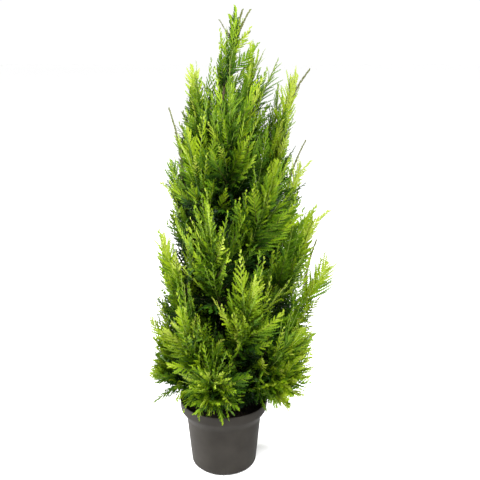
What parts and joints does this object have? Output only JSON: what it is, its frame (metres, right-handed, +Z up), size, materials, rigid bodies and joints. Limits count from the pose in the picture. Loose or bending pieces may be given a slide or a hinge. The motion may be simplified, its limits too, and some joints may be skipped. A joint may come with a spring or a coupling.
{
  "type": "potted lawson cypress",
  "caption": "Young golden-green conifer, a dense column of upright fern-like sprays round one trunk, standing in a round plastic nursery pot of compost.",
  "frame": {"origin": "middle of the pot's flat underside", "axes": "+Z up along the trunk, +X to the fuller side of the crown, the front faces -Y"},
  "size_m": [0.522, 0.4807, 1.3],
  "materials": {
    "pot": "satin moulded",
    "compost": "crumbly",
    "bark": "fibrous bark",
    "foliage": "satin leaf"
  },
  "bodies": {
    "root": {"pot": "pot", "compost": "compost", "trunk": "bark", "bough_01": "bark", "bough_02": "bark", "bough_03": "bark", "bough_04": "bark", "bough_05": "bark", "bough_06": "bark", "bough_07": "bark", "bough_08": "bark", "bough_09": "bark", "bough_10": "bark", "bough_11": "bark", "bough_12": "bark", "bough_13": "bark", "bough_14": "bark", "bough_15": "bark", "bough_16": "bark", "bough_17": "bark", "bough_18": "bark", "bough_19": "bark", "bough_20": "bark", "bough_21": "bark", "bough_22": "bark", "foliage_01": "foliage", "foliage_02": "foliage", "foliage_03": "foliage", "foliage_04": "foliage", "foliage_05": "foliage", "foliage_06": "foliage", "foliage_07": "foliage", "foliage_08": "foliage", "foliage_09": "foliage", "foliage_10": "foliage", "foliage_11": "foliage", "foliage_12": "foliage", "foliage_13": "foliage", "foliage_14": "foliage", "foliage_15": "foliage", "foliage_16": "foliage", "foliage_17": "foliage", "foliage_18": "foliage", "foliage_19": "foliage", "foliage_20": "foliage", "foliage_21": "foliage", "foliage_22": "foliage", "foliage_23": "foliage", "foliage_24": "foliage", "foliage_25": "foliage", "foliage_26": "foliage", "foliage_27": "foliage", "foliage_28": "foliage", "foliage_29": "foliage", "foliage_30": "foliage", "foliage_leader": "foliage"}
  },
  "joints": []
}
